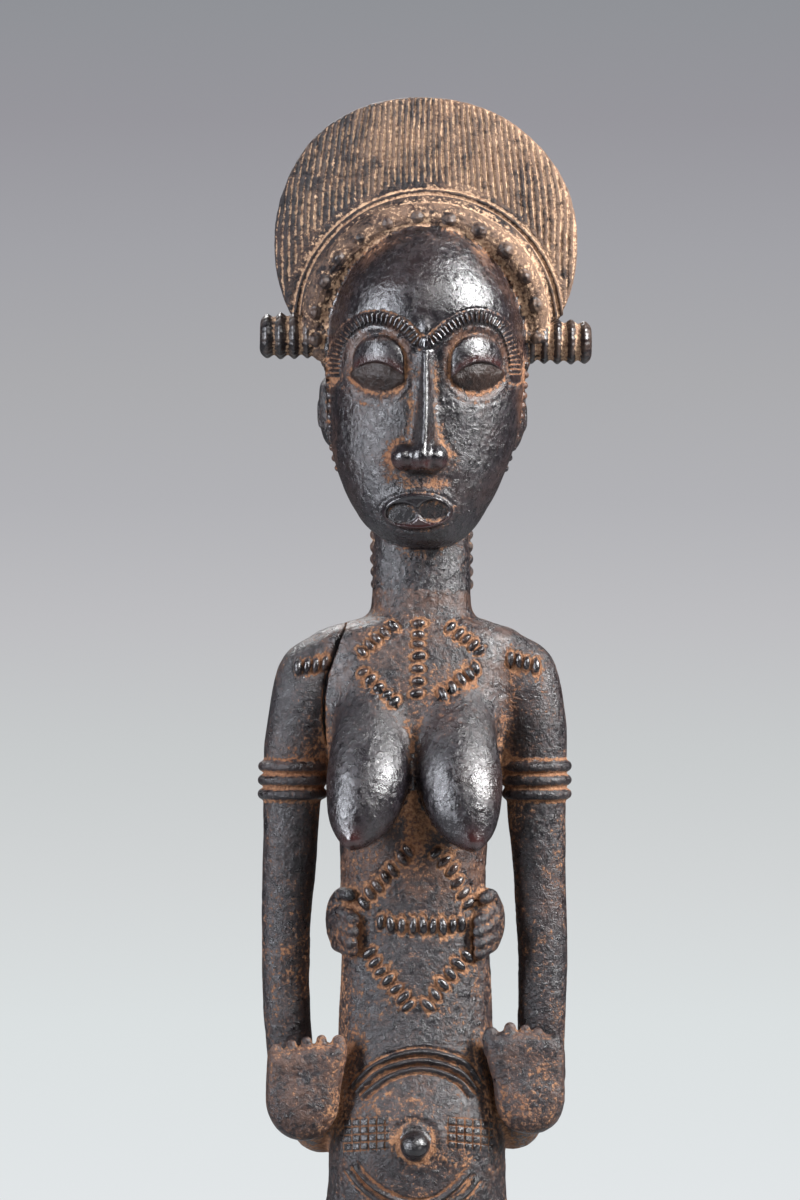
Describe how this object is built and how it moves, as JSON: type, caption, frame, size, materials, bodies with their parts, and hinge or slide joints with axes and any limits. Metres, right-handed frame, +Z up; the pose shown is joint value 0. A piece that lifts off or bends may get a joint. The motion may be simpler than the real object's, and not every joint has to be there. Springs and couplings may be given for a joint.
{
  "type": "carved mother and child figure",
  "caption": "Standing carved wooden mother figure with a child on the back, fan-shaped crest, side hair tufts, armlets and a round plinth.",
  "frame": {"origin": "centre of the underside of the round plinth", "axes": "+Z up along the figure, the face looks along -Y, +X is the figure's own left"},
  "size_m": [0.114, 0.114, 0.52],
  "materials": {
    "polished_wood": "dark brown-black patina, polished by handling, orange-tan crust in the hollows",
    "crusted_wood": "dark wood with a dry tan crust in the carved grooves",
    "plinth_wood": "dark brown wood, worn satin, dusty in the grooves"
  },
  "bodies": {
    "root": {"abdomen": "polished_wood", "chest": "polished_wood", "child_head": "polished_wood", "child_torso": "polished_wood", "coiffure_crest": "crusted_wood", "hair_cap": "crusted_wood", "hairline_band": "crusted_wood", "head": "polished_wood", "hips": "polished_wood", "left_armlet": "polished_wood", "left_breast": "polished_wood", "left_brow": "polished_wood", "left_child_arm": "polished_wood", "left_child_foot": "polished_wood", "left_child_hand": "polished_wood", "left_child_leg": "polished_wood", "left_ear": "polished_wood", "left_eyelid": "polished_wood", "left_foot": "polished_wood", "left_forearm": "polished_wood", "left_hair_tuft": "crusted_wood", "left_hand": "polished_wood", "left_leg": "polished_wood", "left_lower_arm": "polished_wood", "left_nape_braid": "crusted_wood", "left_upper_arm": "polished_wood", "lips": "polished_wood", "navel": "polished_wood", "neck": "polished_wood", "nose": "polished_wood", "plinth": "plinth_wood", "right_armlet": "polished_wood", "right_breast": "polished_wood", "right_brow": "polished_wood", "right_child_arm": "polished_wood", "right_child_foot": "polished_wood", "right_child_hand": "polished_wood", "right_child_leg": "polished_wood", "right_ear": "polished_wood", "right_eyelid": "polished_wood", "right_foot": "polished_wood", "right_forearm": "polished_wood", "right_hair_tuft": "crusted_wood", "right_hand": "polished_wood", "right_leg": "polished_wood", "right_lower_arm": "polished_wood", "right_nape_braid": "crusted_wood", "right_upper_arm": "polished_wood"}
  },
  "joints": []
}
